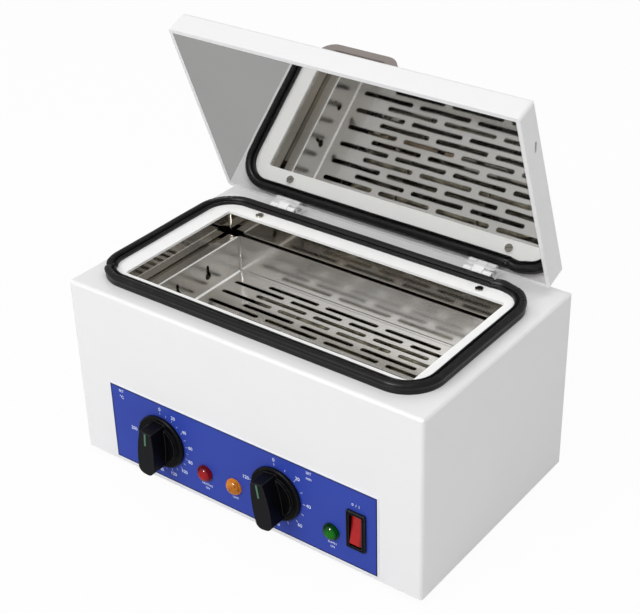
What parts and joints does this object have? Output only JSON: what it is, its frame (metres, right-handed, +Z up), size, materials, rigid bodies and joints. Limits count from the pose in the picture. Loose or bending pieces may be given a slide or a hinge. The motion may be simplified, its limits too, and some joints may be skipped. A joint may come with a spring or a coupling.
{
  "type": "dry heat sterilizer",
  "caption": "Bench-top dry heat sterilizer with a hinged mirror-lined lid standing open over a slotted tray, a thermostat dial, a timer dial, lamps and a rocker switch.",
  "frame": {"origin": "under the middle of the whole object, on the surface that its feet stand on, with the lid as in the picture", "axes": "+X to the object's right seen from the front, +Y to the back, away from the control panel, +Z up"},
  "size_m": [0.3, 0.208, 0.3056],
  "materials": {
    "white_enamel": "satin",
    "stainless": "bright",
    "mirror_steel": "polished",
    "zinc_steel": "satin",
    "heater_sheath": "dull, heat stained",
    "copper_sheath": "dull",
    "brass": "satin",
    "black_rubber": "satin",
    "black_plastic": "fine grain",
    "white_plastic": "satin",
    "grey_plastic": "satin",
    "blue_foil": "satin",
    "red_lens": "clear",
    "orange_lens": "clear",
    "green_lens": "clear",
    "green_line": "printed",
    "wool": "soft wool"
  },
  "bodies": {
    "case": {"outer_casing": "white_enamel", "base_plate": "zinc_steel", "feet": "black_rubber", "foot_screws": "zinc_steel", "base_plate_screws": "zinc_steel", "chamber_rim": "white_enamel", "chamber_tub": "stainless", "rim_screws": "stainless", "chamber_insulation": "wool", "tray_rests": "stainless", "slotted_tray": "stainless", "heating_element": "heater_sheath", "element_clips": "stainless", "temperature_sensor": "copper_sheath", "sensor_clips": "stainless", "capillary_tube": "copper_sheath", "overheat_cutout": "black_plastic", "lid_gasket": "black_rubber", "control_panel": "blue_foil", "thermostat_body": "white_plastic", "timer_body": "white_plastic", "red_lens": "red_lens", "orange_lens": "orange_lens", "green_lens": "green_lens", "lamp_bodies": "white_plastic", "switch_frame": "black_plastic", "mains_inlet": "black_plastic", "inlet_pins": "brass", "inlet_screws": "zinc_steel", "terminal_block": "white_plastic", "terminal_screws": "brass", "earth_bolt": "brass", "left_hinge_base": "white_enamel", "right_hinge_base": "white_enamel", "left_hinge_pin": "zinc_steel", "right_hinge_pin": "zinc_steel", "hinge_base_screws": "zinc_steel"},
    "lid": {"lid_shell": "white_enamel", "lid_mirror": "mirror_steel", "lid_insulation": "wool", "lid_handle": "grey_plastic", "handle_screws": "zinc_steel", "left_hinge_leaf": "white_enamel", "right_hinge_leaf": "white_enamel", "hinge_lid_screws": "zinc_steel"},
    "thermostat_knob": {"thermostat_knob": "black_plastic", "thermostat_pointer": "green_line"},
    "timer_knob": {"timer_knob": "black_plastic", "timer_pointer": "green_line"},
    "rocker": {"switch_rocker": "red_lens"}
  },
  "joints": [
    {"name": "lid_hinge", "type": "hinge", "parent": "case", "child": "lid", "pos_m": [0, 0.0797, 0.1516], "axis": [-1, 0, 0], "range_deg": [-69.3, 20.7]},
    {"name": "thermostat_turn", "type": "hinge", "parent": "case", "child": "thermostat_knob", "pos_m": [-0.07173, -0.0854, 0.04], "axis": [0, 1, 0], "range_deg": [-4, 266]},
    {"name": "timer_turn", "type": "hinge", "parent": "case", "child": "timer_knob", "pos_m": [0.03237, -0.0854, 0.04], "axis": [0, 1, 0], "range_deg": [-23, 282]},
    {"name": "rocker_tilt", "type": "hinge", "parent": "case", "child": "rocker", "pos_m": [0.09909, -0.0814, 0.0388], "axis": [1, 0, 0], "range_deg": [0, 17]}
  ]
}
